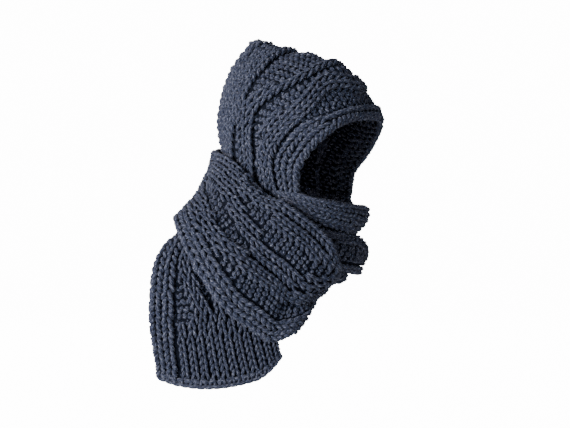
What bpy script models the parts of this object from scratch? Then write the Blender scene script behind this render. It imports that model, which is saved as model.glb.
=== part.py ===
"""Knitted snood hood with two scarf tails, wrapped for wearing.

The whole thing is one thick knitted strip. Its middle is folded over the head and sewn
up the back to make the hood, and the two tails are wound round the neck. Lengths are in
millimetres in the tables and turned into metres when a mesh is made. The face looks
along -Y, the wearer's right side is -X, and the origin is the inside of the crown.
"""
import bpy
import bmesh
import numpy as np

for old in list(bpy.data.objects):
    bpy.data.objects.remove(old, do_unlink=True)

MM = 0.001
HALF_WALL = 4.5
RIB_RISE = 1.3
GROOVE_SINK = 2.4
EDGE_ROUND = 1.2
SEAM_SINK = 1.5
PART_GAP = 0.9
BLEND_LENGTH = 60.0
HOOD_ROWS = 58
TAIL_ROWS = 50

# One row for each line that runs over the hood from the near jaw to the far jaw.
# across: 0 is the face edge, 1 the back seam. Points on the wearer's right side, each
# x y z: bottom of the hood, crease at the neck, widest place, upper side. Then the top
# (y z) in the middle of the head, and the upper side and widest place on the left.
HOOD_LINES = (
    # across, bottom,         crease,          widest,          upper side,      top,       left upper,      left widest
    (0.00, (-79, -79, -198), (-83, -82, -168), (-86, -101, -140), (-60, -129, -106), (-141, -91),
     (54, -141, -93), (82, -110, -133)),
    (0.19, (-84, -50, -195), (-88, -50, -162), (-91, -53, -131), (-74, -98, -95), (-132, -68),
     (56, -131, -73), (90, -68, -126)),
    (0.36, (-85, -31, -192), (-89, -30, -156), (-93, -31, -123), (-78, -76, -71), (-108, -28),
     (67, -98, -48), (93, -38, -114)),
    (0.55, (-82, -9, -189), (-87, -10, -149), (-91, -10, -113), (-73, -52, -50), (-78, -8),
     (70, -62, -36), (92, -14, -104)),
    (0.76, (-67, 25, -181), (-79, 26, -148), (-86, 22, -109), (-65, -7, -29), (-25, 7),
     (64, -13, -18), (87, 21, -100)),
    (0.89, (-40, 56, -176), (-49, 58, -141), (-56, 63, -101), (-41, 36, -14), (10, 18),
     (42, 35, -8), (56, 64, -97)),
    (1.00, (0, 71, -171), (0, 81, -136), (0, 94, -97), (0, 80, -16), (40, 26),
     (0, 80, -16), (0, 94, -97)),
)

# One row for each place along a tail: the upper edge, the middle and the lower edge of
# the strip, each x y z, and how deep the fold along its middle is.
RIGHT_TAIL = (
    # upper edge,       middle,            lower edge,        fold
    ((-79, -79, -198), (-85, -9, -189), (-2, 71, -171), 0),
    ((-73, -96, -204), (-96, -25, -215), (-60, 57, -214), 0),
    ((-54, -114, -208), (-87, -65, -245), (-89, -2, -257), 3),
    ((-20, -127, -213), (-52, -104, -260), (-66, -63, -287), 7),
    ((18, -129, -215), (4, -127, -266), (-9, -104, -304), 10),
    ((60, -111, -217), (61, -112, -268), (55, -101, -313), 9),
    ((104, -66, -214), (108, -62, -266), (111, -50, -312), 5),
    ((103, 6, -199), (109, 10, -245), (115, 16, -289), 3),
    ((59, 71, -176), (69, 84, -213), (83, 96, -251), 2),
    ((7, 85, -171), (9, 94, -201), (11, 108, -236), 2),
    ((-38, 75, -172), (-53, 80, -203), (-70, 93, -238), 2),
    ((-87, 38, -199), (-110, 57, -224), (-133, 75, -255), 2),
    ((-107, 6, -261), (-149, 37, -270), (-183, 86, -285), 2),
    ((-99, -34, -339), (-155, 18, -344), (-200, 88, -353), 2),
    ((-89, -61, -440), (-159, 7, -462), (-186, 84, -450), 0),
)
LEFT_TAIL = (
    # upper edge,       middle,            lower edge,        fold
    ((79, -81, -196), (87, -10, -185), (0, 71, -171), 0),
    ((58, -90, -210), (84, -32, -222), (56, 50, -222), 0),
    ((46, -100, -240), (77, -59, -259), (89, -3, -278), 0),
    ((18, -98, -292), (36, -88, -302), (47, -78, -318), 0),
    ((-11, -96, -320), (-34, -88, -342), (-55, -74, -364), 0),
    ((-38, -121, -304), (-73, -101, -344), (-106, -74, -388), 8),
    ((-64, -123, -267), (-105, -85, -338), (-124, -59, -401), 10),
    ((-80, -104, -242), (-124, -73, -304), (-144, -38, -382), 10),
    ((-98, -88, -225), (-140, -59, -284), (-162, -21, -365), 10),
    ((-106, -65, -211), (-151, -47, -262), (-178, -4, -339), 9),
    ((-106, -39, -200), (-156, -24, -237), (-186, 18, -304), 8),
    ((-103, -13, -178), (-153, 0, -218), (-185, 40, -272), 6),
    ((-96, 17, -154), (-132, 33, -196), (-171, 64, -242), 4),
    ((-62, 68, -137), (-92, 66, -183), (-124, 89, -234), 3),
    ((-27, 91, -133), (-46, 92, -178), (-66, 113, -230), 2),
    ((9, 103, -129), (11, 107, -172), (12, 126, -226), 2),
    ((55, 98, -136), (63, 100, -173), (78, 119, -226), 2),
    ((100, 52, -156), (116, 66, -198), (134, 82, -247), 2),
    ((123, 18, -207), (143, 38, -246), (159, 60, -291), 2),
    ((134, 3, -264), (158, 27, -305), (174, 53, -344), 0),
)

# The pattern across the strip: where each groove lies, 0 at the face edge and 1 at the
# back edge, with its half width. Between grooves the cloth rises as a rib or a panel.
HOOD_GROOVES = ((0.19, 0.022), (0.53, 0.018), (0.60, 0.018), (0.76, 0.022))
TAIL_GROOVES = ((0.215, 0.022), (0.455, 0.018), (0.53, 0.022), (0.615, 0.018), (0.845, 0.022))


def smooth_rows(knots, rows, where):
    """Read a table of rows at any place between its knots, on a smooth curve."""
    where = np.clip(where, knots[0], knots[-1])
    step = np.diff(knots)
    slope = np.diff(rows, axis=0) / step[:, None]
    tangent = np.empty_like(rows)
    tangent[0] = slope[0]
    tangent[-1] = slope[-1]
    before = step[:-1, None]
    after = step[1:, None]
    tangent[1:-1] = (slope[1:] * before + slope[:-1] * after) / (before + after)
    i = np.clip(np.searchsorted(knots, where, side="right") - 1, 0, len(step) - 1)
    t = ((where - knots[i]) / step[i])[:, None]
    h = step[i][:, None]
    return ((1 + 2 * t) * (1 - t) ** 2 * rows[i] + t * (1 - t) ** 2 * h * tangent[i]
            + t * t * (3 - 2 * t) * rows[i + 1] + t * t * (t - 1) * h * tangent[i + 1])


def chord_knots(points):
    """Running length along a row of points."""
    return np.concatenate(([0.0], np.cumsum(np.linalg.norm(np.diff(points, axis=0), axis=1))))


def hood_line(across, along):
    """Middle of the hood wall on one line over the head; along runs -1 near to 1 far."""
    table = []
    for row in HOOD_LINES:
        table.append(np.concatenate([np.atleast_1d(np.array(cell, float)) for cell in row]))
    table = np.array(table)
    row = smooth_rows(table[:, 0], table[:, 1:], np.array([across]))[0]
    bottom, crease, widest, side = row[0:3], row[3:6], row[6:9], row[9:12]
    top = np.array([0.0, row[12], row[13]])
    left_side, left_widest = row[14:17], row[17:20]
    mirror = np.array([-1.0, 1.0, 1.0])
    points = np.array([bottom, crease, widest, side, top, left_side, left_widest,
                       crease * mirror, bottom * mirror])
    if across > 0.999:
        points[:, 0] = 0.0
    length = chord_knots(points)
    knots = np.concatenate((length[:5] / length[4] - 1.0,
                            (length[5:] - length[4]) / (length[-1] - length[4])))
    return smooth_rows(knots, points, along)


def tail_sheet(table, across, count, first_edge):
    """Middle of a tail as a grid, its fold depth, and how far each row is still hood."""
    rows = np.array([np.concatenate([np.atleast_1d(np.array(c, float)) for c in r]) for r in table])
    length = chord_knots(rows[:, 3:6])
    where = np.linspace(0.0, length[-1], count)
    read = smooth_rows(length, rows, where)
    u = across[None, :, None]
    upper, middle, lower = read[:, None, 0:3], read[:, None, 3:6], read[:, None, 6:9]
    grid = upper * (1 - u) * (1 - 2 * u) + middle * 4 * u * (1 - u) + lower * u * (2 * u - 1)
    t = np.clip(where / BLEND_LENGTH, 0.0, 1.0)
    keep = (1.0 - t * t * (3.0 - 2.0 * t))[:, None, None]
    grid = grid + keep * (first_edge - grid[0])[None]
    return grid, read[:, 9], keep


def grid_normals(grid):
    """Unit normals of a grid of points."""
    n = np.cross(np.gradient(grid, axis=1), np.gradient(grid, axis=0))
    return n / np.maximum(np.linalg.norm(n, axis=2), 1e-9)[:, :, None]


def relief(across, grooves):
    """Rise of the outside over the plain wall, across the strip."""
    rise = np.full(len(across), RIB_RISE)
    for centre, half in grooves:
        dip = np.clip(1.0 - np.abs(across - centre) / half, 0.0, 1.0)
        rise = rise - dip * (RIB_RISE + GROOVE_SINK)
    return rise


def stations(grooves, spare):
    """Places across the strip: both lips and the bottom of each groove, and a few between."""
    marks = [0.0, 1.0]
    for centre, half in grooves:
        marks += [centre - half, centre, centre + half]
    marks = sorted(marks)
    out = []
    for a, b in zip(marks[:-1], marks[1:]):
        parts = max(1, int(round((b - a) / spare)))
        out += [a + (b - a) * k / parts for k in range(parts)]
    return np.array(out + [1.0])


def new_object(name, material, bm):
    """Turn a bmesh into a named, smooth shaded object with one material."""
    bmesh.ops.remove_doubles(bm, verts=bm.verts, dist=0.00002)
    bmesh.ops.triangulate(bm, faces=bm.faces)
    bmesh.ops.recalc_face_normals(bm, faces=bm.faces)
    mesh = bpy.data.meshes.new(name)
    bm.to_mesh(mesh)
    bm.free()
    mesh.materials.append(material)
    for polygon in mesh.polygons:
        polygon.use_smooth = True
    obj = bpy.data.objects.new(name, mesh)
    bpy.context.scene.collection.objects.link(obj)
    return obj


def knit_material(name, colour):
    """Plain rough wool colour for one node."""
    material = bpy.data.materials.new(name)
    material.use_nodes = True
    shader = material.node_tree.nodes["Principled BSDF"]
    shader.inputs["Base Color"].default_value = (*colour, 1.0)
    shader.inputs["Roughness"].default_value = 0.95
    shader.inputs["Metallic"].default_value = 0.0
    return material


def wall_mesh(outer, inner, welded):
    """Close an outer and an inner grid into one wall; a welded wall shares its last edge."""
    bm = bmesh.new()
    out = [[bm.verts.new(p * MM) for p in row] for row in outer]
    inn = [[bm.verts.new(p * MM) for p in row] for row in inner]
    rows = len(out)
    for r in range(rows - 1):
        for c in range(len(out[0]) - 1):
            bm.faces.new((out[r][c], out[r][c + 1], out[r + 1][c + 1], out[r + 1][c]))
        for c in range(len(inn[0]) - 1):
            bm.faces.new((inn[r][c], inn[r + 1][c], inn[r + 1][c + 1], inn[r][c + 1]))
        bm.faces.new((out[r][0], out[r + 1][0], inn[r + 1][0], inn[r][0]))
        if not welded:
            bm.faces.new((out[r][-1], inn[r][-1], inn[r + 1][-1], out[r + 1][-1]))
    for r in (0, rows - 1):
        ring = list(out[r]) + list(reversed(inn[r]))
        bm.faces.new(ring)
    return bm


# The hood: lines over the head from the face edge to the back seam, both halves welded
# where they meet in the seam.
hood_across = stations(HOOD_GROOVES, 0.055)
hood_inside = np.linspace(0.0, 1.0, 13)
hood_along = np.linspace(-1.0, 1.0, HOOD_ROWS + 1)


def hood_wall(across, side):
    """Outside (side 1) or inside (side -1) of the hood wall as a grid."""
    grid = np.array([hood_line(u, hood_along) for u in across]).transpose(1, 0, 2)
    normal = -grid_normals(grid)
    normal[:, -1] = normal[:, -2] + normal[::-1, -2]
    normal[:, -1, 0] = 0.0
    normal[:, -1] /= np.linalg.norm(normal[:, -1], axis=1)[:, None]
    depth = np.full(len(across), HALF_WALL)
    if side > 0:
        depth = depth + relief(across, HOOD_GROOVES)
        depth[-1] -= SEAM_SINK
    depth[0] -= EDGE_ROUND
    return grid + side * normal * depth[None, :, None]


hood_outer = hood_wall(hood_across, 1.0)
hood_inner = hood_wall(hood_inside, -1.0)
wool = knit_material("hood_wool", (0.062, 0.070, 0.095))
new_object("hood", wool, wall_mesh(hood_outer, hood_inner, True))


def build_tail(name, table, along_end, turn, colour):
    """One scarf tail that carries on from the bottom edge of the hood."""
    across = stations(TAIL_GROOVES, 0.09)
    inside = np.linspace(0.0, 1.0, 10)
    walls = []
    for places, side in ((across, 1.0), (inside, -1.0)):
        near_end = np.array([along_end, along_end * (1.0 - 2.0 / HOOD_ROWS)])
        first = np.array([hood_line(min(u, 0.998), near_end) for u in places])
        first_normal = -turn * grid_normals(first.transpose(1, 0, 2))[0]
        first_normal[-1, 0] = 0.0
        first = first[:, 0]
        first[:, 2] -= PART_GAP
        first[-1, 0] = -turn * 1.5
        grid, fold, keep = tail_sheet(table, places, TAIL_ROWS + 1, first)
        normal = turn * grid_normals(grid)
        normal = normal * (1.0 - keep) + first_normal[None] * keep
        normal = normal / np.linalg.norm(normal, axis=2)[:, :, None]
        dip = np.exp(-((places - 0.53) / 0.16) ** 2)[None, :, None] * fold[:, None, None]
        depth = np.full(len(places), HALF_WALL)
        if side > 0:
            depth = depth + relief(places, TAIL_GROOVES)
        depth[0] -= EDGE_ROUND
        depth[-1] -= EDGE_ROUND
        walls.append(grid - normal * dip + side * normal * depth[None, :, None])
    new_object(name, knit_material(name + "_wool", colour), wall_mesh(walls[0], walls[1], False))


build_tail("right_scarf_tail", RIGHT_TAIL, -1.0, 1.0, (0.066, 0.075, 0.102))
build_tail("left_scarf_tail", LEFT_TAIL, 1.0, -1.0, (0.070, 0.080, 0.108))
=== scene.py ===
# %% [markdown]
# # A hand knitted snood hood, dressed stitch by stitch
# The hood and its two scarf tails are one long strip of very thick wool. The imported model
# gives the solid shape of that strip. This script puts the real fabric on it: every course
# of yarn is drawn as one wavy tube, loop through loop, the way knitting needles make it.
# The first cell loads the imported model, which stays where it is.

# %% The fixed frame
import math

import bmesh
import bpy
import numpy as np
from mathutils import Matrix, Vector


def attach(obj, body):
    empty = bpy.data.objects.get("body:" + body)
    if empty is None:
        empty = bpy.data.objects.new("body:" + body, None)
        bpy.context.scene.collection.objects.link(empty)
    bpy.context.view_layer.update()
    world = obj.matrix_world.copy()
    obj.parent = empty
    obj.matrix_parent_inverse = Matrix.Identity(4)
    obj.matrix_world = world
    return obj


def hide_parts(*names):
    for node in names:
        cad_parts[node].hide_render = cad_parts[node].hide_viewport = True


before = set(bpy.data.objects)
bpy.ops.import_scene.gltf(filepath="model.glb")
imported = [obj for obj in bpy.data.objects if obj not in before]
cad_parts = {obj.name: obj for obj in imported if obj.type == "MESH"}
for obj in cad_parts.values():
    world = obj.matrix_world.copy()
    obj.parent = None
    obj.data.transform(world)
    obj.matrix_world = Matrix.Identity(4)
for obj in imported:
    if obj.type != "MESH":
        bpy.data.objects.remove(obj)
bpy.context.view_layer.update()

print("nodes:", sorted(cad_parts))

# %% [markdown]
# ## The camera
# The hood is seen from its own right side, turned thirty degrees towards its front, with the
# camera level with its middle and two metres off. The lens is worked out from how many
# millimetres one pixel covers at the aim point, and a very small shift puts the aim point
# at its own pixel.

# %% Camera
MM = 0.001
PICTURE_WIDTH = 570
PICTURE_HEIGHT = 428
AIM = Vector((0.0, 0.0, -0.230))
AIM_PIXEL = (278.0, 216.5)
CAMERA_TURN = math.radians(-60.0)
CAMERA_DISTANCE = 2.0
MM_PER_PIXEL = 1.47

camera_data = bpy.data.cameras.new("camera")
camera_data.sensor_width = 36.0
camera_data.lens = 36.0 * CAMERA_DISTANCE / (MM * MM_PER_PIXEL * PICTURE_WIDTH)
camera_data.shift_x = (PICTURE_WIDTH / 2 - AIM_PIXEL[0]) / PICTURE_WIDTH
camera_data.shift_y = (AIM_PIXEL[1] - PICTURE_HEIGHT / 2) / PICTURE_WIDTH
camera = bpy.data.objects.new("camera", camera_data)
towards_camera = Vector((math.sin(CAMERA_TURN), -math.cos(CAMERA_TURN), 0.0))
camera.location = AIM + towards_camera * CAMERA_DISTANCE
camera.rotation_mode = "QUATERNION"
camera.rotation_quaternion = (-towards_camera).to_track_quat("-Z", "Y")
bpy.context.scene.collection.objects.link(camera)
bpy.context.scene.camera = camera
print("lens", round(camera_data.lens, 1), "mm")

# %% [markdown]
# ## The shape of the strip
# The real thing is one long knitted strip that is sewn up the back and wound round. It could
# be dropped on a form with a cloth simulation, but this strip was pulled and folded by hand,
# and a few rows of points follow those folds better. Each row below is one line across or
# along the cloth, in millimetres, and a smooth curve is read through the rows. The opening
# of the hood looks along -Y and its right side, as worn, is -X.
#
# The solids are shaped by the same rows, so the knitting lies where they are. Three places
# are a little different here: the peak is slightly higher, the fold in the roll under the
# opening is deeper and further up the strip, and the front fold of the left tail has a step.

# %% Rows that shape the hood and the tails
HOOD_LINES = (
    # across, bottom,         crease,          widest,          upper side,      top,
    #          left upper,     left widest
    (0.00, (-79, -79, -198), (-83, -82, -168), (-86, -101, -140), (-60, -129, -106), (-141, -91),
     (54, -141, -93), (82, -110, -133)),
    (0.19, (-84, -50, -195), (-88, -50, -162), (-91, -53, -131), (-74, -98, -95), (-132, -68),
     (56, -131, -73), (90, -68, -126)),
    (0.36, (-85, -31, -192), (-89, -30, -156), (-93, -31, -123), (-78, -76, -71), (-108, -28),
     (67, -98, -48), (93, -38, -114)),
    (0.55, (-82, -9, -189), (-87, -10, -149), (-91, -10, -113), (-73, -52, -50), (-78, -8),
     (70, -62, -36), (92, -14, -104)),
    (0.76, (-67, 25, -181), (-79, 26, -148), (-86, 22, -109), (-65, -7, -29), (-25, 7),
     (64, -13, -18), (87, 21, -100)),
    (0.89, (-40, 56, -176), (-49, 58, -141), (-56, 63, -101), (-41, 36, -14), (10, 18),
     (42, 35, -8), (56, 64, -97)),
    (1.00, (0, 71, -171), (0, 81, -136), (0, 94, -97), (0, 78, -13), (37, 31),
     (0, 78, -13), (0, 94, -97)),
)
RIGHT_TAIL = (
    # upper edge,       middle,            lower edge,        place and depth of fold
    ((-79, -79, -198), (-85, -9, -189), (-2, 71, -171), 0.53, 0),
    ((-73, -96, -204), (-96, -25, -215), (-60, 57, -214), 0.53, 0),
    ((-54, -114, -208), (-87, -65, -245), (-89, -2, -257), 0.53, 3),
    ((-20, -127, -213), (-52, -104, -260), (-66, -63, -287), 0.48, 11),
    ((18, -129, -215), (4, -127, -266), (-9, -104, -304), 0.42, 18),
    ((60, -111, -217), (61, -112, -268), (55, -101, -313), 0.36, 19),
    ((104, -66, -214), (108, -62, -266), (111, -50, -312), 0.36, 14),
    ((103, 6, -199), (109, 10, -245), (115, 16, -289), 0.45, 3),
    ((59, 71, -176), (69, 84, -213), (83, 96, -251), 0.53, 2),
    ((7, 85, -171), (9, 94, -201), (11, 108, -236), 0.53, 2),
    ((-38, 75, -172), (-53, 80, -203), (-70, 93, -238), 0.53, 2),
    ((-87, 38, -199), (-110, 57, -224), (-133, 75, -255), 0.53, 2),
    ((-107, 6, -261), (-149, 37, -270), (-183, 86, -285), 0.53, 2),
    ((-99, -34, -339), (-155, 18, -344), (-200, 88, -353), 0.53, 2),
    ((-89, -61, -440), (-159, 7, -462), (-186, 84, -450), 0.53, 0),
)
LEFT_TAIL = (
    # upper edge,       middle,            lower edge,        place and depth of fold
    ((79, -81, -196), (87, -10, -185), (0, 71, -171), 0.53, 0),
    ((58, -90, -210), (84, -32, -222), (56, 50, -222), 0.53, 0),
    ((46, -100, -240), (77, -59, -259), (89, -3, -278), 0.53, 0),
    ((18, -98, -292), (36, -88, -303), (50, -79, -324), 0.53, 0),
    ((4, -96, -291), (0, -85, -317), (-18, -64, -329), 0.53, 0),
    ((-13, -96, -303), (-36, -87, -339), (-60, -72, -360), 0.53, 4),
    ((-38, -121, -304), (-73, -101, -344), (-102, -79, -390), 0.53, 9),
    ((-64, -123, -267), (-105, -85, -338), (-124, -59, -401), 0.53, 10),
    ((-80, -104, -242), (-124, -73, -304), (-144, -38, -382), 0.53, 10),
    ((-98, -88, -225), (-140, -59, -284), (-162, -21, -365), 0.53, 10),
    ((-106, -65, -211), (-151, -47, -262), (-178, -4, -339), 0.53, 9),
    ((-106, -39, -200), (-156, -24, -237), (-186, 18, -304), 0.53, 8),
    ((-103, -13, -178), (-153, 0, -218), (-185, 40, -272), 0.53, 6),
    ((-96, 17, -154), (-132, 33, -196), (-171, 64, -242), 0.53, 4),
    ((-62, 68, -137), (-92, 66, -183), (-124, 89, -234), 0.53, 3),
    ((-27, 91, -133), (-46, 92, -178), (-66, 113, -230), 0.53, 2),
    ((9, 103, -129), (11, 107, -172), (12, 126, -226), 0.53, 2),
    ((55, 98, -136), (63, 100, -173), (78, 119, -226), 0.53, 2),
    ((100, 52, -156), (116, 66, -198), (134, 82, -247), 0.53, 2),
    ((123, 18, -207), (143, 38, -246), (159, 60, -291), 0.53, 2),
    ((134, 3, -264), (158, 27, -305), (174, 53, -344), 0.53, 0),
)
print("rows:", len(HOOD_LINES), "over the hood,", len(RIGHT_TAIL), "along the right tail,",
      len(LEFT_TAIL), "along the left")

# %% [markdown]
# ## A smooth curve through the rows
# Straight lines between the rows would show as corners in the cloth. A cubic curve passes
# through every row without one, and it needs no more points. The hood's chart is read with
# the same function later on.

# %% Reading the rows
NEAR_SEAM = 0.998


def smooth_rows(knots, rows, where):
    """Read a table of rows at any place between its knots, on a smooth curve."""
    where = np.clip(where, knots[0], knots[-1])
    step = np.diff(knots)
    slope = np.diff(rows, axis=0) / step[:, None]
    tangent = np.empty_like(rows)
    tangent[0] = slope[0]
    tangent[-1] = slope[-1]
    before = step[:-1, None]
    after = step[1:, None]
    tangent[1:-1] = (slope[1:] * before + slope[:-1] * after) / (before + after)
    i = np.clip(np.searchsorted(knots, where, side="right") - 1, 0, len(step) - 1)
    t = ((where - knots[i]) / step[i])[:, None]
    h = step[i][:, None]
    return ((1 + 2 * t) * (1 - t) ** 2 * rows[i] + t * (1 - t) ** 2 * h * tangent[i]
            + t * t * (3 - 2 * t) * rows[i + 1] + t * t * (t - 1) * h * tangent[i + 1])


def chord_knots(points):
    """Running length along a row of points."""
    return np.concatenate(([0.0], np.cumsum(np.linalg.norm(np.diff(points, axis=0), axis=1))))


def flat_rows(table):
    """A table of nested rows as one plain array."""
    return np.array([np.concatenate([np.atleast_1d(np.array(c, float)) for c in row])
                     for row in table])


def hood_line(across, along):
    """One line over the hood from its near bottom edge (-1) to its far one (1)."""
    table = flat_rows(HOOD_LINES)
    row = smooth_rows(table[:, 0], table[:, 1:], np.array([across]))[0]
    bottom, crease, widest, side = row[0:3], row[3:6], row[6:9], row[9:12]
    top = np.array([0.0, row[12], row[13]])
    mirror = np.array([-1.0, 1.0, 1.0])
    points = np.array([bottom, crease, widest, side, top, row[14:17], row[17:20],
                       crease * mirror, bottom * mirror])
    if across > NEAR_SEAM:
        points[:, 0] = 0.0
    length = chord_knots(points)
    knots = np.concatenate((length[:5] / length[4] - 1.0,
                            (length[5:] - length[4]) / (length[-1] - length[4])))
    return smooth_rows(knots, points, along)


face_edge = hood_line(0.0, np.linspace(-1.0, 1.0, 50))
print("the face edge of the hood is", round(chord_knots(face_edge)[-1]), "mm long")

# %% [markdown]
# ## Sheets that know their own surface
# To lay yarn on a curved strip, two things must be known at every place: the point in the
# middle of the cloth, and the direction straight out of it. Both are worked out once on a
# fine grid. After that any place, given as one share along the strip and one across it, is
# read from the grid by mixing its four neighbours.

# %% A sheet that can be read
WIDTH_STEPS = 60
MEASURE_STEPS = 90
LENGTH_STEPS = 200


def grid_normals(grid):
    """Unit normals of a grid of points."""
    n = np.cross(np.gradient(grid, axis=1), np.gradient(grid, axis=0))
    return n / np.maximum(np.linalg.norm(n, axis=2), 1e-9)[:, :, None]


class Sheet:
    """The middle surface of one strip, read by place along (0 to 1) and across (0 to 1)."""

    def __init__(self, points, normals):
        self.points = points
        self.normals = normals

    def read(self, along, across):
        """Points and outward directions at many places."""
        rows, columns = self.points.shape[:2]
        y = along * (rows - 1)
        x = across * (columns - 1)
        i = np.clip(np.floor(y).astype(int), 0, rows - 2)
        j = np.clip(np.floor(x).astype(int), 0, columns - 2)
        a = (y - i)[:, None]
        b = (x - j)[:, None]
        out = []
        for grid in (self.points, self.normals):
            near = grid[i, j] * (1 - b) + grid[i, j + 1] * b
            far = grid[i + 1, j] * (1 - b) + grid[i + 1, j + 1] * b
            out.append(near * (1 - a) + far * a)
        length = np.linalg.norm(out[1], axis=1)
        return out[0], out[1] / length[:, None]

    def width(self, along):
        """Width of the strip at one place along it."""
        share = np.linspace(0.0, 1.0, WIDTH_STEPS)
        points = self.read(np.full(WIDTH_STEPS, along), share)[0]
        return chord_knots(points)[-1]

    def measure(self, along):
        """Shares across and the millimetres from the first edge to each, at one place along."""
        share = np.linspace(0.0, 1.0, MEASURE_STEPS)
        return share, chord_knots(self.read(np.full(MEASURE_STEPS, along), share)[0])

    def length(self, across):
        """Length of the strip on one line along it."""
        share = np.linspace(0.0, 1.0, LENGTH_STEPS)
        points = self.read(share, np.full(LENGTH_STEPS, across))[0]
        return chord_knots(points)[-1]


print("a sheet measures its width in", WIDTH_STEPS, "steps and its length in", LENGTH_STEPS)

# %% [markdown]
# ## The three sheets
# The hood's sheet is read over the crown from side to side. Each tail starts on the bottom
# edge of the hood and blends into its own rows, which also say how deep it is folded.
#
# A strip that bends sideways is longer on one edge than on the other. The rows of the right
# tail are spaced evenly on the line that is seen best, so that the stitches there have their
# natural height. That line moves across the strip where the tail turns over. The end that
# hangs down has one rounded corner, which is made by drawing its last rows back.

# %% The three sheets
SHEET_ALONG = 220
SHEET_ACROSS = 90
BLEND_LENGTH = 60.0
FOLD_REACH = 0.16
SHOWN_ALONG = (0.50, 0.66)
SHOWN_ACROSS = (0.22, 0.70)
CORNER_START = 0.85
CORNER_DEPTH = 0.022
CORNER_REACH = 0.22


def hood_sheet():
    """The hood, knitted from its far bottom edge over the crown to the near one."""
    along = np.linspace(1.0, -1.0, SHEET_ALONG + 1)
    across = np.linspace(0.0, 1.0, SHEET_ACROSS + 1)
    points = np.array([hood_line(u, along) for u in across]).transpose(1, 0, 2)
    normals = grid_normals(points)
    normals[:, -1] = normals[:, -2] + normals[::-1, -2]
    normals[:, -1, 0] = 0.0
    normals[:, -1] /= np.linalg.norm(normals[:, -1], axis=1)[:, None]
    return Sheet(points, normals)


def tail_sheet(table, along_end, turn):
    """A tail that carries on from the bottom edge of the hood."""
    across = np.linspace(0.0, 1.0, SHEET_ACROSS + 1)
    first = np.array([hood_line(min(u, NEAR_SEAM), np.array([along_end])) for u in across])[:, 0]
    rows = flat_rows(table)
    length = chord_knots(rows[:, 3:6])
    where = np.linspace(0.0, length[-1], SHEET_ALONG + 1)
    read = smooth_rows(length, rows, where)
    u = across[None, :, None]
    upper, middle, lower = read[:, None, 0:3], read[:, None, 3:6], read[:, None, 6:9]
    points = upper * (1 - u) * (1 - 2 * u) + middle * 4 * u * (1 - u) + lower * u * (2 * u - 1)
    t = np.clip(where / BLEND_LENGTH, 0.0, 1.0)
    keep = (1.0 - t * t * (3.0 - 2.0 * t))[:, None, None]
    points = points + keep * (first - points[0])[None]
    fold_place, fold_depth = read[:, 9, None], read[:, 10, None]
    fold = (fold_depth * np.exp(-((across[None, :] - fold_place) / FOLD_REACH) ** 2))[:, :, None]
    points = points - turn * grid_normals(points) * fold
    return Sheet(points, turn * grid_normals(points))


def turned_round(sheet):
    """The same sheet counted from its other end."""
    return Sheet(sheet.points[::-1], sheet.normals[::-1])


def rounded_corner(sheet):
    """The same sheet with its last rows drawn back near the first edge, to round the corner."""
    rows, columns = sheet.points.shape[:2]
    place = np.linspace(0.0, 1.0, rows)
    drawn = CORNER_DEPTH * np.clip((place - CORNER_START) / (1.0 - CORNER_START), 0.0, 1.0) ** 2
    read = [sheet.read(place - drawn * max(1.0 - u / CORNER_REACH, 0.0) ** 2, np.full(rows, u))
            for u in np.linspace(0.0, 1.0, columns)]
    return Sheet(np.stack([r[0] for r in read], axis=1), np.stack([r[1] for r in read], axis=1))


def spaced_on(sheet, across):
    """The same sheet with its rows an equal distance apart on one line along it."""
    rows, columns = sheet.points.shape[:2]
    place = np.linspace(0.0, 1.0, rows)
    run = chord_knots(sheet.read(place, across)[0])
    even = np.interp(np.linspace(0.0, run[-1], rows), run, place)
    read = [sheet.read(even, np.full(rows, u)) for u in np.linspace(0.0, 1.0, columns)]
    return Sheet(np.stack([r[0] for r in read], axis=1), np.stack([r[1] for r in read], axis=1))


hood_cloth = hood_sheet()
right_plain = tail_sheet(RIGHT_TAIL, -1.0, 1.0)
shown_line = np.interp(np.linspace(0.0, 1.0, SHEET_ALONG + 1), SHOWN_ALONG, SHOWN_ACROSS)
right_cloth = rounded_corner(spaced_on(right_plain, shown_line))
left_cloth = turned_round(tail_sheet(LEFT_TAIL, 1.0, -1.0))
for cloth_name, cloth in (("hood", hood_cloth), ("right", right_cloth), ("left", left_cloth)):
    print(cloth_name, "middle length", round(cloth.length(0.5)), "mm, width half way",
          round(cloth.width(0.5)), "mm")

# %% [markdown]
# ## How one stitch is drawn
# Fine knitting can be a bump on a smooth sheet. This yarn is six millimetres thick and every
# stitch shows in the outline, so the stitches are real shapes here.
#
# In knitting one yarn runs back and forth, and each loop is pulled through the loop below.
# A loop is a wave that goes up and comes back down while it also swings sideways, so that
# its foot is narrow and its top is wide. Seen from the front the two legs make a V. Seen
# from the back the tops and feet make small bumps, which is called purl. The same
# wave draws both: for purl its depth changes sign and the wave is a little smaller.
#
# A chart gives each course as a list of columns. A column is a tuple: its width in
# millimetres, its kind (1 knit, -1 purl, 0 a bare bar of yarn at the bottom of a groove),
# how far it is lifted out of the cloth, and how far its top leans sideways.
#
# No two stitches made by hand are quite alike, so each gets a small chance shift, from a
# random generator with a fixed seed.

# %% The stitch
LOOP_POINTS = 16
BAR_POINTS = 4
YARN_RADIUS = 3.0
KNIT_SHARE = 0.172
PURL_SHARE = 0.31
THINNEST = 0.6
THICKEST = 1.0
BAR_THICKNESS = 0.7
KIND_BLEND = 0.2
LIFT_BLEND = 0.35
LOOP_DEPTH = 3.8
PURL_DEPTH = 2.7
KNIT_REACH = 0.83
PURL_REACH = 0.74
KNIT_SWING = 0.215
PURL_SWING = 0.115
LEG_SWELL = 0.27
UNEVEN_ACROSS = 0.03
UNEVEN_ALONG = 0.045
UNEVEN_HEIGHT = 0.35
UNEVEN_THICKNESS = 0.03


def ease(t):
    """Smooth step from 0 to 1."""
    t = np.clip(t, 0.0, 1.0)
    return t * t * (3.0 - 2.0 * t)


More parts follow.
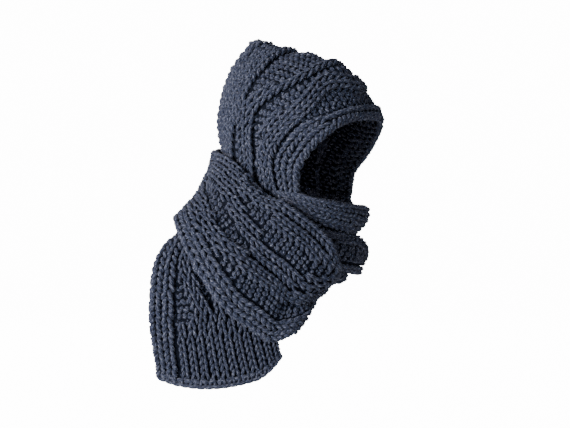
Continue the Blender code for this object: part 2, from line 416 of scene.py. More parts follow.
def between(values):
    """Value at each column's edges: the mean of the two columns that meet there."""
    return np.concatenate((values[:1], (values[:-1] + values[1:]) / 2, values[-1:]))


def course(columns, row, chance):
    """One course of yarn: millimetres across, place in courses, height, and thickness."""
    width, kind, lift, lean = np.array(columns, float).T
    edges = np.concatenate(([0.0], np.cumsum(width)))
    share = np.where(kind > 0, KNIT_SHARE, PURL_SHARE)
    thick = np.clip(share * width / YARN_RADIUS, THINNEST, THICKEST)
    thick[kind == 0] = BAR_THICKNESS
    edge_kind, edge_lift, edge_thick = between(kind), between(lift), between(thick)
    shift = chance.normal(0.0, 1.0, (len(width), 4))
    out = []
    for n in range(len(width)):
        loop = abs(kind[n])
        points = LOOP_POINTS if loop else BAR_POINTS
        t = np.arange(points + (n == len(width) - 1)) / points
        own = ease(np.minimum(t, 1 - t) / KIND_BLEND)
        mild = ease(np.minimum(t, 1 - t) / LIFT_BLEND)
        side = np.where(t < 0.5, n, n + 1)
        k = edge_kind[side] * (1 - own) + kind[n] * own
        z = edge_lift[side] * (1 - mild) + lift[n] * mild
        r = edge_thick[side] * (1 - mild) + thick[n] * mild
        reach = PURL_REACH + (KNIT_REACH - PURL_REACH) * (k + 1) / 2
        swing = PURL_SWING + (KNIT_SWING - PURL_SWING) * (k + 1) / 2
        x = edges[n] + width[n] * (t + loop * swing * np.sin(4 * np.pi * t))
        x = x + lean[n] * np.sin(np.pi * t) ** 2
        y = row + 0.5 - reach * (np.cos(2 * np.pi * t) if loop else 1.0)
        wave = np.cos(4 * np.pi * t) * loop
        z = z - np.where(k > 0, LOOP_DEPTH, PURL_DEPTH) * k * wave
        r = r * (1.0 - LEG_SWELL * np.maximum(k, 0.0) * wave)
        x = x + shift[n, 0] * UNEVEN_ACROSS * width[n] * mild
        y = y + shift[n, 1] * UNEVEN_ALONG * mild
        z = z + shift[n, 2] * UNEVEN_HEIGHT * mild
        r = r * (1.0 + shift[n, 3] * UNEVEN_THICKNESS * mild)
        out.append(np.stack((x, y, z, r), axis=1))
    return np.concatenate(out)


print("a stitch is drawn with", LOOP_POINTS, "points and a bare bar with", BAR_POINTS)

# %% [markdown]
# ## Laying the yarn on a sheet
# A course is drawn flat first: how far across, how many courses along, and how high. To lay
# it down, each point is looked up on the sheet and moved straight out by its height. Where
# the strip bends and its courses crowd together, the yarn is squeezed, as soft wool is.
#
# At the side edge the yarn turns and comes back as the next course, so many courses make
# one long path, as they do on the needles.

# %% Laying the yarn
TURN_BULGE = 0.8
FULL_PITCH = 9.6
LEAST_SQUEEZE = 0.5
MOST_SPREAD = 1.05


def laid(sheet, path, total):
    """Lay a flat path on a sheet. Where the courses crowd together the yarn is squeezed."""
    along, across = path[:, 1] / total, path[:, 0]
    points, normals = sheet.read(along, across)
    half = 0.5 / total
    pitch = sheet.read(along + half, across)[0] - sheet.read(along - half, across)[0]
    squeeze = np.clip(np.linalg.norm(pitch, axis=1) / FULL_PITCH, LEAST_SQUEEZE, MOST_SPREAD)
    return (points + normals * (path[:, 2] * squeeze)[:, None]) * MM, path[:, 3] * squeeze


def edge_turn(before, after, outward):
    """The yarn's way round the side edge, from one course up to the next."""
    t = np.array([0.25, 0.5, 0.75])[:, None]
    path = before * (1 - t) + after * t
    path[:, 0] += outward * np.sin(np.pi * t[:, 0])
    return path


def yarn_path(sheet, chart, rows, total, seed):
    """Many courses joined into one yarn, as points in metres and a thickness at each."""
    chance = np.random.default_rng(seed)
    pieces = []
    for row in rows:
        share, run = sheet.measure((row + 0.5) / total)
        line = course(chart(row, run[-1]), row, chance)
        line[:, 0] = np.interp(line[:, 0], run, share)
        if row % 2:
            line = line[::-1]
        if pieces:
            outward = 1.0 if line[0, 0] > 0.5 else -1.0
            pieces.append(edge_turn(pieces[-1][-1], line[0], outward * TURN_BULGE / run[-1]))
        pieces.append(line)
    return laid(sheet, np.concatenate(pieces), total)


print("courses are", FULL_PITCH, "mm high where the yarn has its full thickness")

# %% [markdown]
# ## Ends and side edges
# Two more paths finish a strip. Its end is bound off with a chain of loops, each pulled
# through the one before. Along a side edge the yarn winds round the edge, once for every
# course, and that is drawn as a plain coil.

# %% Bound ends and wound edges
CHAIN_PITCH = 11.0
CHAIN_OVERLAP = 0.62
CHAIN_SWING = 0.42
CHAIN_THICKNESS = 0.95
CHAIN_LIFT = 2.6
CHAIN_DEPTH = 2.2
CORD_POINTS = 10
CORD_WIDTHS = 40
CORD_INSET = 1.4
CORD_SWING = 1.5
CORD_DEPTH = 3.4
CORD_THICKNESS = 0.82


def chain_path(sheet, place, total):
    """The bound edge of a strip: a chain of loops, each pulled through the one before."""
    share, run = sheet.measure(place / total)
    count = int(run[-1] // CHAIN_PITCH)
    t = np.arange(count * LOOP_POINTS + 1) / LOOP_POINTS
    turn = 2 * np.pi * t
    across = np.clip(run[-1] / count * (t - CHAIN_OVERLAP * np.cos(turn)), 0.0, run[-1])
    path = np.stack((np.interp(across, run, share), place + CHAIN_SWING * np.sin(turn),
                     CHAIN_LIFT - CHAIN_DEPTH * np.cos(2 * turn),
                     np.full(len(t), CHAIN_THICKNESS)), axis=1)
    return laid(sheet, path, total)


def cord_path(sheet, side, rows, total):
    """The side edge of a strip: the yarn winds once round the edge for every course."""
    y = np.arange(rows * CORD_POINTS + 1) / CORD_POINTS
    turn = 2 * np.pi * y
    place = np.linspace(0.0, 1.0, CORD_WIDTHS)
    width = np.interp(y / total, place, [sheet.width(p) for p in place])
    share = (CORD_INSET + CORD_SWING * np.cos(turn)) / width
    path = np.stack((1.0 - share if side else share, y, CORD_DEPTH * np.sin(turn),
                     np.full(len(y), CORD_THICKNESS)), axis=1)
    return laid(sheet, path, total)


print("a chain stitch is", CHAIN_PITCH, "mm long, a coil has", CORD_POINTS, "points a course")

# %% [markdown]
# ## From a path to a yarn
# A Blender curve with a round bevel turns a path into a tube, which is quicker and cleaner
# than building rings by hand. The curve is then made a mesh. Each point of the mesh is
# given a small vector: where it lies round the yarn, turned as the plies turn, and how far
# along. The wool material reads it, so that its flecks wind round the yarn.

# %% Yarn pieces
SIDES = 6
PLY_PITCH = 70.0


def yarn_mesh(name, path, radius):
    """Tube along one path as a closed mesh, with the ply vector on its points."""
    points, thickness = path
    curve = bpy.data.curves.new(name + "_path", "CURVE")
    curve.dimensions = "3D"
    curve.bevel_depth = radius * MM
    curve.bevel_resolution = SIDES // 2 - 2
    curve.use_fill_caps = True
    spline = curve.splines.new("POLY")
    spline.points.add(len(points) - 1)
    flat = np.concatenate((points, np.ones((len(points), 1))), axis=1)
    spline.points.foreach_set("co", flat.ravel())
    spline.points.foreach_set("radius", thickness)
    shape = bpy.data.objects.new(name + "_path", curve)
    bpy.context.scene.collection.objects.link(shape)
    bpy.context.view_layer.update()
    graph = bpy.context.evaluated_depsgraph_get()
    mesh = bpy.data.meshes.new_from_object(shape.evaluated_get(graph))
    bpy.data.objects.remove(shape)
    bpy.data.curves.remove(curve)
    mesh.name = name

    # The mesh lists the ring of the end cap, then that of the first cap, then every ring.
    rings = np.concatenate(([len(points) - 1, 0], np.arange(len(points))))
    along = chord_knots(points)[rings, None] / MM
    phase = 2 * np.pi * (np.arange(SIDES)[None, :] / SIDES + along / PLY_PITCH)
    ply = np.stack((np.cos(phase), np.sin(phase), along + 0 * phase), axis=2)
    attribute = mesh.attributes.new("ply", "FLOAT_VECTOR", "POINT")
    attribute.data.foreach_set("vector", ply.astype(np.float32).ravel())
    for polygon in mesh.polygons:
        polygon.use_smooth = True
    return mesh


def finish_piece(name, mesh, material):
    """Put a mesh in the scene as a piece of the hood that rides on its only body."""
    mesh.materials.clear()
    mesh.materials.append(material)
    piece = bpy.data.objects.new(name, mesh)
    bpy.context.scene.collection.objects.link(piece)
    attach(piece, "root")
    print(name, "triangles", sum(len(p.vertices) - 2 for p in mesh.polygons))
    return piece


print("yarn", 2 * YARN_RADIUS, "mm thick with", SIDES, "sides, one turn of its plies in",
      PLY_PITCH, "mm")

# %% [markdown]
# ## The wool
# The yarn is a soft charcoal wool spun from lighter blue grey and nearly black fibres, so
# no two stitches have quite the same colour. One node group makes that mix from the ply
# vector: long winding flecks and a fine grain of fibres. It also paints shade into the
# groove between two plies, as a dark line in the colour.

# %% Wool material
PLIES = 3
FLECK_SCALE = (2.2, 2.2, 0.3)
FIBRE_SCALE = (6.0, 6.0, 0.4)
FLECK_SHARE = 0.75
FLECK_RANGE = (0.38, 0.64)
PLY_GROOVE_PAINTED_SHADE = 0.4
PLY_HEIGHT = 0.35
FIBRE_HEIGHT = 0.5


def wool_group():
    """Node group with the colour and height of heathered, plied wool, and painted shade between
    the plies.
    """
    group = bpy.data.node_groups.new("heather_and_ply_shade", "ShaderNodeTree")
    face = group.interface
    face.new_socket("Ply", in_out="INPUT", socket_type="NodeSocketVector")
    for label in ("Dark", "Middle", "Light"):
        face.new_socket(label, in_out="INPUT", socket_type="NodeSocketColor")
    face.new_socket("Color", in_out="OUTPUT", socket_type="NodeSocketColor")
    face.new_socket("Height", in_out="OUTPUT", socket_type="NodeSocketFloat")
    nodes, links = group.nodes, group.links
    start = nodes.new("NodeGroupInput")
    end = nodes.new("NodeGroupOutput")

    def scaled(label, scale):
        node = nodes.new("ShaderNodeVectorMath")
        node.operation = "MULTIPLY"
        node.label = label
        node.inputs[1].default_value = scale
        links.new(start.outputs["Ply"], node.inputs[0])
        return node.outputs[0]

    def noise(vector, detail):
        node = nodes.new("ShaderNodeTexNoise")
        node.inputs["Scale"].default_value = 1.0
        node.inputs["Detail"].default_value = detail
        node.inputs["Roughness"].default_value = 0.6
        links.new(vector, node.inputs["Vector"])
        return node.outputs["Fac"]

    def maths(operation, a, b=None):
        node = nodes.new("ShaderNodeMath")
        node.operation = operation
        for socket, value in zip(node.inputs, (a, b)):
            if value is None:
                continue
            if isinstance(value, (int, float)):
                socket.default_value = value
            else:
                links.new(value, socket)
        return node.outputs[0]

    fleck = noise(scaled("flecks", FLECK_SCALE), 3.0)
    grain = noise(scaled("fibres", FIBRE_SCALE), 2.0)
    split = nodes.new("ShaderNodeSeparateXYZ")
    links.new(start.outputs["Ply"], split.inputs[0])
    angle = maths("ARCTAN2", split.outputs["Y"], split.outputs["X"])
    strand = maths("ABSOLUTE", maths("SINE", maths("MULTIPLY", angle, PLIES / 2)))
    ramp = nodes.new("ShaderNodeValToRGB")
    ramp.color_ramp.elements[0].position = FLECK_RANGE[0]
    ramp.color_ramp.elements[1].position = FLECK_RANGE[1]
    mixed = maths("ADD", maths("MULTIPLY", fleck, FLECK_SHARE),
                  maths("MULTIPLY", grain, 1.0 - FLECK_SHARE))
    links.new(mixed, ramp.inputs["Fac"])
    shade = ramp.outputs["Color"]
    low = nodes.new("ShaderNodeMix")
    low.data_type = "RGBA"
    links.new(maths("MINIMUM", maths("MULTIPLY", shade, 2.0), 1.0), low.inputs["Factor"])
    links.new(start.outputs["Dark"], low.inputs["A"])
    links.new(start.outputs["Middle"], low.inputs["B"])
    high = nodes.new("ShaderNodeMix")
    high.data_type = "RGBA"
    over = maths("MAXIMUM", maths("SUBTRACT", maths("MULTIPLY", shade, 2.0), 1.0), 0.0)
    links.new(over, high.inputs["Factor"])
    links.new(low.outputs["Result"], high.inputs["A"])
    links.new(start.outputs["Light"], high.inputs["B"])
    # Painted shade: along the groove between two plies the colour is mixed towards the dark fibre
    # colour.
    groove = nodes.new("ShaderNodeMix")
    groove.data_type = "RGBA"
    ply_groove_shade = maths("SUBTRACT", 1.0, maths("POWER", strand, 0.5))
    links.new(maths("MULTIPLY", ply_groove_shade, PLY_GROOVE_PAINTED_SHADE), groove.inputs["Factor"])
    links.new(high.outputs["Result"], groove.inputs["A"])
    links.new(start.outputs["Dark"], groove.inputs["B"])
    links.new(groove.outputs["Result"], end.inputs["Color"])
    height = maths("ADD", maths("MULTIPLY", strand, PLY_HEIGHT),
                   maths("MULTIPLY", grain, FIBRE_HEIGHT))
    links.new(height, end.inputs["Height"])
    return group


heather_and_ply_shade = wool_group()


def wool_material(name, dark, middle, light):
    """Wool with its own three fibre colours."""
    material = bpy.data.materials.new(name)
    material.use_nodes = True
    nodes, links = material.node_tree.nodes, material.node_tree.links
    shader = nodes["Principled BSDF"]
    shader.inputs["Roughness"].default_value = 0.92
    shader.inputs["Specular IOR Level"].default_value = 0.06
    shader.inputs["Sheen Weight"].default_value = 0.08
    shader.inputs["Sheen Roughness"].default_value = 0.4
    shader.inputs["Sheen Tint"].default_value = (0.75, 0.82, 1.0, 1.0)
    ply = nodes.new("ShaderNodeAttribute")
    ply.attribute_name = "ply"
    wool = nodes.new("ShaderNodeGroup")
    wool.node_tree = heather_and_ply_shade
    links.new(ply.outputs["Vector"], wool.inputs["Ply"])
    for label, colour in (("Dark", dark), ("Middle", middle), ("Light", light)):
        wool.inputs[label].default_value = (*colour, 1.0)
    bump = nodes.new("ShaderNodeBump")
    bump.inputs["Strength"].default_value = 0.55
    bump.inputs["Distance"].default_value = 0.0012
    links.new(wool.outputs["Height"], bump.inputs["Height"])
    links.new(wool.outputs["Color"], shader.inputs["Base Color"])
    links.new(bump.outputs["Normal"], shader.inputs["Normal"])
    return material


charcoal_wool = wool_material("charcoal_wool", (0.007, 0.009, 0.020), (0.037, 0.044, 0.075),
                              (0.158, 0.166, 0.210))
print("wool group:", len(heather_and_ply_shade.nodes), "nodes")

# %% [markdown]
# ## The pattern of the tails
# A knitter follows a chart, and so does this script. Across the strip there are three plain
# ribs, a purl panel with a two stitch cable that wanders over it, two narrow ribs between
# grooves, a second panel, and two wide ribs at the lower edge. Where a cable sets off, the
# purl beside it opens into a small dark pocket for one course. The last courses before the
# end are plain ribs all the way across.
#
# The strip is gathered where it is wound round. There every stitch is squeezed a
# little, and the columns that still have no room are tucked out of sight at one edge.

# %% Chart of the tails
RIB_LIFT = 1.5
GROUND_LIFT = -0.8
CABLE_LIFT = 3.3
GROOVE_LIFT = -1.4
POCKET_LIFT = -2.6
RIB_WIDTH = 15.0
WIDE_RIB = 17.5
STRAND_WIDTH = 12.0
GROUND_WIDTH = 8.3
GROOVE_WIDTH = 3.6
POCKET_WIDTH = 11.0
MIDDLE_RIB = 12.0
EDGE_GROOVE = 3.0
END_RIB = 11.8
TIGHTEST = 0.93

# Other grooves, each with its width and its lift.
SHALLOW_GROOVE = (2.0, -0.4)
DEEP_GROOVE = (4.6, -2.4)
END_GROOVE = (2.4, -1.6)


def ribs(count, width, lift=RIB_LIFT):
    """Knit columns of equal width."""
    return [(width, 1.0, lift, 0.0)] * count


def groove(width=GROOVE_WIDTH, lift=GROOVE_LIFT):
    """A bare bar of yarn sunk between two raised parts."""
    return [(width, 0.0, lift, 0.0)]


def ground(room):
    """Purl columns that fill some room, or none where there is too little."""
    count = int(round(room / GROUND_WIDTH))
    return [(room / max(count, 1), -1.0, GROUND_LIFT, 0.0)] * count


def panel(room, start, following, strands=2, pocket=0.0):
    """Purl panel with a cable over it that begins at one place and leans to the next."""
    free = max(room - strands * STRAND_WIDTH, 0.0)
    start = min(max(start, 0.0), free)
    following = min(max(following, 0.0), free)
    before = ground(start)
    after = ground(free - start)
    if pocket and following < start:
        before = ground(start - pocket) + groove(pocket, POCKET_LIFT)
    if pocket and following > start:
        after = groove(pocket, POCKET_LIFT) + ground(free - start - pocket)
    wide = room - sum(c[0] for c in before + after)
    return before + [(wide / strands, 1.0, CABLE_LIFT, following - start)] * strands + after


def fit(columns, room, keep_lower):
    """Squeeze or spread columns to a width, and tuck away those that have no room."""
    columns = list(columns)
    loose_end = 0 if keep_lower else -1
    most = (room + RIB_WIDTH / 2) / TIGHTEST
    while sum(c[0] for c in columns) > most or columns[loose_end][1] == 0:
        columns.pop(loose_end)
    scale = room / sum(c[0] for c in columns)
    return [(c[0] * scale, c[1], c[2], c[3] * scale) for c in columns]


TAIL_ROWS = 92
CABLE_PERIOD = 30.0
CABLE_REST = 0.22
CABLE_CROSSING = 0.28
PANEL_WIDTH = 48.0
END_RIB_ROWS = 9
END_RIBS = 13


def wander(row, first):
    """Share of the free way that a cable has gone: it rests, crosses, rests and comes back."""
    phase = ((row - first) / CABLE_PERIOD) % 1.0
    gone = ease((phase - CABLE_REST) / CABLE_CROSSING)
    back = ease((phase - 0.5 - CABLE_REST) / CABLE_CROSSING)
    return float(gone - back)


def tail_chart(first_a, first_b, last_end, lower_from):
    """Chart of a tail: where its cables start, which end is free, where its lower edge leads."""

    def cable_panel(row, first):
        free = PANEL_WIDTH - 2 * STRAND_WIDTH
        here, ahead = wander(row, first), wander(row + 1, first)
        sets_off = here in (0.0, 1.0) and ahead != here
        return panel(PANEL_WIDTH, free * here, free * ahead, pocket=POCKET_WIDTH * sets_off)

    def chart(row, room):
        keep_lower = row >= lower_from
        lower_edge = groove(EDGE_GROOVE) + ribs(2, WIDE_RIB)
        if (TAIL_ROWS - 1 - row if last_end else row) < END_RIB_ROWS:
            end_ribs = (ribs(1, END_RIB) + groove(*END_GROOVE)) * END_RIBS
            return fit(end_ribs + lower_edge, room, keep_lower)
        upper_part = ribs(3, RIB_WIDTH) + groove() + cable_panel(row, first_a) + groove()
        middle_ribs = ribs(1, MIDDLE_RIB) + groove(*SHALLOW_GROOVE) + ribs(1, MIDDLE_RIB)
        lower_part = groove(*DEEP_GROOVE) + cable_panel(row, first_b) + lower_edge
        return fit(upper_part + middle_ribs + lower_part, room, keep_lower)

    return chart


print("a tail:", TAIL_ROWS, "courses,", END_RIB_ROWS, "of them the ribs at its end")

# %% [markdown]
# ## The pattern of the hood
# The hood is wider than the tails: behind the second groove it has a plain back that runs
# to the seam. Its two cables and its grooves swing in long arcs, so the places that they
# pass are written down, in millimetres from the face edge, and a smooth curve is read
# through them. Both halves of the hood share the table.
#
# Half way down each side the front cable gets a third strand for a few courses, which
# makes a knot. Along the crown the cloth bunches up into low lumps that show in the
# outline, and the courses near the crown are lifted to make them.

# %% Chart of the hood
HOOD_COURSES = 44
BACK_COLUMN = 14.5
BACK_RIB = 14.0
BACK_GROOVE = (4.0, -2.4)
SEAM_SIDE_GROOVE = (2.4, -0.6)
SINGLE_STRAND_COURSES = 8.0
HOOD_PLACES = (
    # courses from the crown, end of the rim, front cable, middle groove, back groove
    (0, 18, 40, 82, 159),
    (3, 19, 48, 83, 158),
    (5, 20, 53, 81, 151),
    (7, 24, 45, 84, 146),
    (9, 31, 41, 91, 140),
    (11, 37, 41, 99, 132),
    (12, 38, 42, 102, 130),
    (14, 39, 43, 91, 123),
    (16, 40, 44, 80, 115),
    (18, 37, 41, 68, 107),
    (20, 31, 35, 64, 101),
    (23, 24, 28, 58, 97),
)
CROWN_LUMPS = (
    # millimetres from the face edge, height
    (50, 3.0), (80, 5.5), (134, 5.0), (172, 2.0), (216, 8.5),
)
LUMP_REACH = 12.0
LUMP_COURSES = 5.0
KNOT_COURSES = (11.0, 15.5)


def hood_chart(row, room):
    """Chart of the hood for one course, counted from its far bottom edge."""
    table = np.array(HOOD_PLACES, float)
    from_crown = np.abs(row + np.array([0.5, 1.5]) - HOOD_COURSES / 2)
    rim, front, middle, back = smooth_rows(table[:, 0], table[:, 1:], from_crown).T
    front_start = rim[0] + GROOVE_WIDTH
    front_room = middle[0] - front_start
    back_room = back[0] - middle[0] - GROOVE_WIDTH
    front_strands = 3 if KNOT_COURSES[0] < from_crown[0] < KNOT_COURSES[1] else 2
    back_strands = 1 if from_crown[0] < SINGLE_STRAND_COURSES else 2
    rim_ribs = int(round(rim[0] / WIDE_RIB))
    columns = ribs(rim_ribs, rim[0] / rim_ribs) + groove()
    columns += panel(front_room, front[0] - front_start, front[1] - front_start, front_strands)
    columns += groove() + panel(back_room, 0.0, middle[1] - middle[0], back_strands)
    columns += groove(*BACK_GROOVE) + ribs(1, BACK_RIB) + groove(*SEAM_SIDE_GROOVE)
    rest = room - sum(c[0] for c in columns)
    count = max(int(round(rest / BACK_COLUMN)), 1)
    columns += ribs(count, rest / count, 0.0)
    widths = np.array([c[0] for c in columns])
    centres = np.cumsum(widths) - widths / 2
    swell = math.exp(-(from_crown[0] / LUMP_COURSES) ** 2)
    rise = sum(height * swell * np.exp(-((centres - place) / LUMP_REACH) ** 2)
               for place, height in CROWN_LUMPS)
    return [(w, kind, lift + up, lean) for (w, kind, lift, lean), up in zip(columns, rise)]


print("the hood:", HOOD_COURSES, "courses, up to", round(max(h for _, h in CROWN_LUMPS), 1),
      "mm higher along the crown")

# %% [markdown]
# ## Knitting it
# Each strip is knitted in the direction that the photograph shows: from the left tail over
# the hood to the right tail, so the points of the stitches all face the same way. A tail is
# made as two pieces to keep each mesh small. After the courses come the bound ends, and the
# cords along the side edges and down the seam.

# %% Knit the pieces
HALF_TAIL = TAIL_ROWS // 2
BOUND_INSET = 0.2
SLOTS = {"hood": "hood_knit", "right_scarf_tail": "right_tail_knit",
         "left_scarf_tail": "left_tail_knit"}

# Courses run from the left tail's end, over the hood, to the right tail's end.
# A chart takes the course where each cable starts, whether its ribbed end comes last, and
# from which course on the lower edge is the one that keeps all its columns.
RIGHT_CHART = tail_chart(40.0, 52.4, True, 60)
LEFT_CHART = tail_chart(22.5, 24.4, False, 0)
STITCHES = (
    # piece, node, sheet, chart, first course, end, courses in the strip, seed
    ("hood_stitches", "hood", hood_cloth, hood_chart, 0, HOOD_COURSES, HOOD_COURSES, 11),
    ("right_tail_stitches_near", "right_scarf_tail", right_cloth, RIGHT_CHART,
     0, HALF_TAIL, TAIL_ROWS, 21),
    ("right_tail_stitches_far", "right_scarf_tail", right_cloth, RIGHT_CHART,
     HALF_TAIL, TAIL_ROWS, TAIL_ROWS, 22),
    ("left_tail_stitches_far", "left_scarf_tail", left_cloth, LEFT_CHART,
     0, HALF_TAIL, TAIL_ROWS, 31),
    ("left_tail_stitches_near", "left_scarf_tail", left_cloth, LEFT_CHART,
     HALF_TAIL, TAIL_ROWS, TAIL_ROWS, 32),
)
BOUND_EDGES = (
    # piece, node, sheet, course
    ("right_tail_bound_edge", "right_scarf_tail", right_cloth, TAIL_ROWS - BOUND_INSET),
    ("left_tail_bound_edge", "left_scarf_tail", left_cloth, BOUND_INSET),
)
CORDS = (
    # piece, node, sheet, side (0 upper or face, 1 lower or seam), courses, courses in the strip
    ("hood_face_cord", "hood", hood_cloth, 0, HOOD_COURSES, HOOD_COURSES),
    ("hood_seam_cord", "hood", hood_cloth, 1, HOOD_COURSES // 2, HOOD_COURSES),
    ("right_tail_upper_cord", "right_scarf_tail", right_cloth, 0, TAIL_ROWS, TAIL_ROWS),
    ("left_tail_upper_cord", "left_scarf_tail", left_cloth, 0, TAIL_ROWS, TAIL_ROWS),
    ("right_tail_lower_cord", "right_scarf_tail", right_cloth, 1, TAIL_ROWS, TAIL_ROWS),
    ("left_tail_lower_cord", "left_scarf_tail", left_cloth, 1, TAIL_ROWS, TAIL_ROWS),
)
pieces = {node: [] for node in SLOTS}


def yarn_piece(name, node, path):
    """One yarn on one of the strips, as a piece of the scene."""
    mesh = yarn_mesh(name, path, YARN_RADIUS)
    pieces[node].append(finish_piece(name, mesh, charcoal_wool))


for name, node, sheet, chart, first, end, total, seed in STITCHES:
    yarn_piece(name, node, yarn_path(sheet, chart, range(first, end), total, seed))
for name, node, sheet, place in BOUND_EDGES:
    yarn_piece(name, node, chain_path(sheet, place, TAIL_ROWS))
for name, node, sheet, side, rows, total in CORDS:
    yarn_piece(name, node, cord_path(sheet, side, rows, total))

# %% [markdown]
# ## A dark sheet of painted shade behind the stitches
# Real yarn is squeezed so tightly that hardly any light comes through. A thin dark sheet in
# the middle of the wall does that job here. It takes the place of the solid, and the mean
# width and length of the strip are worked out with it.

# %% Backing sheets
BACKING_THICKNESS = 1.0
BACKING_INSET = 0.005
BACKING_ALONG = 120
BACKING_ACROSS = 40
FLAT_MEASURES = 9

# The sheet keeps the cloth from being see-through, and its near-black colour is painted shade for
# the deep gaps between the stitches.
painted_shade_backing = bpy.data.materials.new("backing_painted_shade")
painted_shade_backing.use_nodes = True
backing_nodes = painted_shade_backing.node_tree.nodes
backing_links = painted_shade_backing.node_tree.links
backing_shader = backing_nodes["Principled BSDF"]
backing_shader.inputs["Roughness"].default_value = 1.0
backing_shader.inputs["Specular IOR Level"].default_value = 0.0
backing_grain = backing_nodes.new("ShaderNodeTexNoise")
backing_grain.inputs["Scale"].default_value = 420.0
backing_ramp = backing_nodes.new("ShaderNodeValToRGB")
backing_ramp.color_ramp.elements[0].color = (0.003, 0.004, 0.007, 1.0)
backing_ramp.color_ramp.elements[1].color = (0.010, 0.0115, 0.019, 1.0)
backing_place = backing_nodes.new("ShaderNodeTexCoord")
backing_links.new(backing_place.outputs["Object"], backing_grain.inputs["Vector"])
backing_links.new(backing_grain.outputs["Fac"], backing_ramp.inputs["Fac"])
backing_links.new(backing_ramp.outputs["Color"], backing_shader.inputs["Base Color"])


def backing(name, node, sheet):
    """Thin closed sheet in the middle of the cloth, which also works out its mean flat size."""
    bm = bmesh.new()
    bmesh.ops.create_grid(bm, x_segments=BACKING_ACROSS, y_segments=BACKING_ALONG, size=0.5)
    place = np.array([v.co for v in bm.verts]) + 0.5
    points = sheet.read(place[:, 1], BACKING_INSET + (1.0 - 2.0 * BACKING_INSET) * place[:, 0])[0]
    for vertex, point in zip(bm.verts, points * MM):
        vertex.co = point
    bmesh.ops.recalc_face_normals(bm, faces=bm.faces)
    bmesh.ops.solidify(bm, geom=bm.faces[:], thickness=BACKING_THICKNESS * MM)
    bmesh.ops.recalc_face_normals(bm, faces=bm.faces)
    mesh = bpy.data.meshes.new(name)
    bm.to_mesh(mesh)
    bm.free()
    for polygon in mesh.polygons:
        polygon.use_smooth = True
    piece = finish_piece(name, mesh, painted_shade_backing)
    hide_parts(node)
    shares = np.linspace(0.0, 1.0, FLAT_MEASURES)
    width = float(np.mean([sheet.width(share) for share in shares]))
    length = float(np.mean([sheet.length(share) for share in shares]))


backing("hood_backing", "hood", hood_cloth)
backing("right_tail_backing", "right_scarf_tail", right_cloth)
backing("left_tail_backing", "left_scarf_tail", left_cloth)

# %% [markdown]
# ## The studio
# A pale floor that sweeps up into a round pale wall, like the cove of a studio, so that no
# horizon shows from any side. The paint glows only where the camera looks straight at it,
# so the backdrop is clean white and still throws no light on the wool.

# %% Floor and backdrop
FLOOR_HEIGHT = -0.62
COVE_RADIUS = 5.0
COVE_CORNER = 1.6
COVE_HEIGHT = 4.0
CORNER_STEPS = 10
COVE_STEPS = 64
BACKDROP_GLOW = 14.0

studio_paint = bpy.data.materials.new("studio_paint")
studio_paint.use_nodes = True
paint_nodes = studio_paint.node_tree.nodes
paint_links = studio_paint.node_tree.links
paint = paint_nodes["Principled BSDF"]
paint.inputs["Base Color"].default_value = (0.85, 0.85, 0.85, 1.0)
paint.inputs["Roughness"].default_value = 1.0
paint.inputs["Emission Color"].default_value = (1.0, 1.0, 1.0, 1.0)
seen_by = paint_nodes.new("ShaderNodeLightPath")
glow = paint_nodes.new("ShaderNodeMath")
glow.operation = "MULTIPLY"
glow.inputs[1].default_value = BACKDROP_GLOW
paint_links.new(seen_by.outputs["Is Camera Ray"], glow.inputs[0])
paint_links.new(glow.outputs[0], paint.inputs["Emission Strength"])

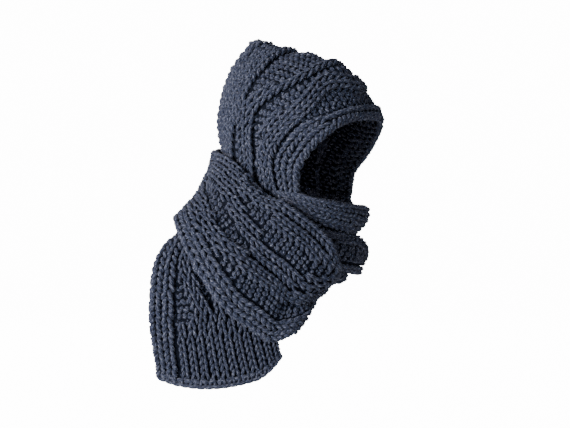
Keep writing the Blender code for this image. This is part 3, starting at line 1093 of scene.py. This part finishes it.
bm = bmesh.new()
flat_radius = COVE_RADIUS - COVE_CORNER
profile = [bm.verts.new((0.0, 0.0, FLOOR_HEIGHT))]
for step in range(CORNER_STEPS + 1):
    corner = math.pi / 2 * step / CORNER_STEPS
    profile.append(bm.verts.new((flat_radius + COVE_CORNER * math.sin(corner), 0.0,
                                 FLOOR_HEIGHT + COVE_CORNER * (1 - math.cos(corner)))))
profile.append(bm.verts.new((COVE_RADIUS, 0.0, FLOOR_HEIGHT + COVE_HEIGHT)))
for a, b in zip(profile[:-1], profile[1:]):
    bm.edges.new((a, b))
bmesh.ops.spin(bm, geom=bm.verts[:] + bm.edges[:], cent=(0, 0, 0), axis=(0, 0, 1),
               angle=2 * math.pi, steps=COVE_STEPS, use_merge=True)
bmesh.ops.remove_doubles(bm, verts=bm.verts, dist=0.0001)
bmesh.ops.recalc_face_normals(bm, faces=bm.faces)
cove_mesh = bpy.data.meshes.new("studio_cove")
bm.to_mesh(cove_mesh)
bm.free()
for polygon in cove_mesh.polygons:
    polygon.use_smooth = True
cove_mesh.materials.append(studio_paint)
cove = bpy.data.objects.new("studio_cove", cove_mesh)
bpy.context.scene.collection.objects.link(cove)
print("the floor lies", -FLOOR_HEIGHT, "m below the crown, the wall is", COVE_RADIUS, "m away")

# %% [markdown]
# ## The light
# Two lights stand at the left, as a window would: a warm one a little above the hood, and a
# larger bluish one that comes in level and lights the tails. A weak third light at the back
# on the far side keeps the hidden side from going black.

# %% Lights
world = bpy.data.worlds.new("studio_world")
world.use_nodes = True
world.node_tree.nodes["Background"].inputs["Color"].default_value = (0.93, 0.96, 1.0, 1.0)
world.node_tree.nodes["Background"].inputs["Strength"].default_value = 0.3
bpy.context.scene.world = world


def soft_light(name, turn, height, distance, size, power, colour):
    """Square area light that looks at the middle of the hood from a turn round it."""
    data = bpy.data.lights.new(name, "AREA")
    data.shape = "SQUARE"
    data.size = size
    data.energy = power
    data.color = colour
    light = bpy.data.objects.new(name, data)
    angle = math.radians(turn)
    away = Vector((math.sin(angle), -math.cos(angle), height)).normalized()
    light.location = AIM + away * distance
    light.rotation_mode = "QUATERNION"
    light.rotation_quaternion = (-away).to_track_quat("-Z", "Y")
    bpy.context.scene.collection.objects.link(light)
    print(name, "stands", round(light.location.z - FLOOR_HEIGHT, 2), "m above the floor")


soft_light("window_light", -112.0, 0.26, 2.6, 0.7, 88.0, (1.0, 0.86, 0.73))
soft_light("fill_light", -96.0, 0.06, 3.0, 1.0, 74.0, (0.70, 0.86, 1.0))
soft_light("far_light", 128.0, 0.5, 3.2, 2.0, 40.0, (0.95, 0.97, 1.0))

# %% [markdown]
# ## The end
# The stitches stand only a little proud of the solids.

# %% Finish
bpy.context.view_layer.update()
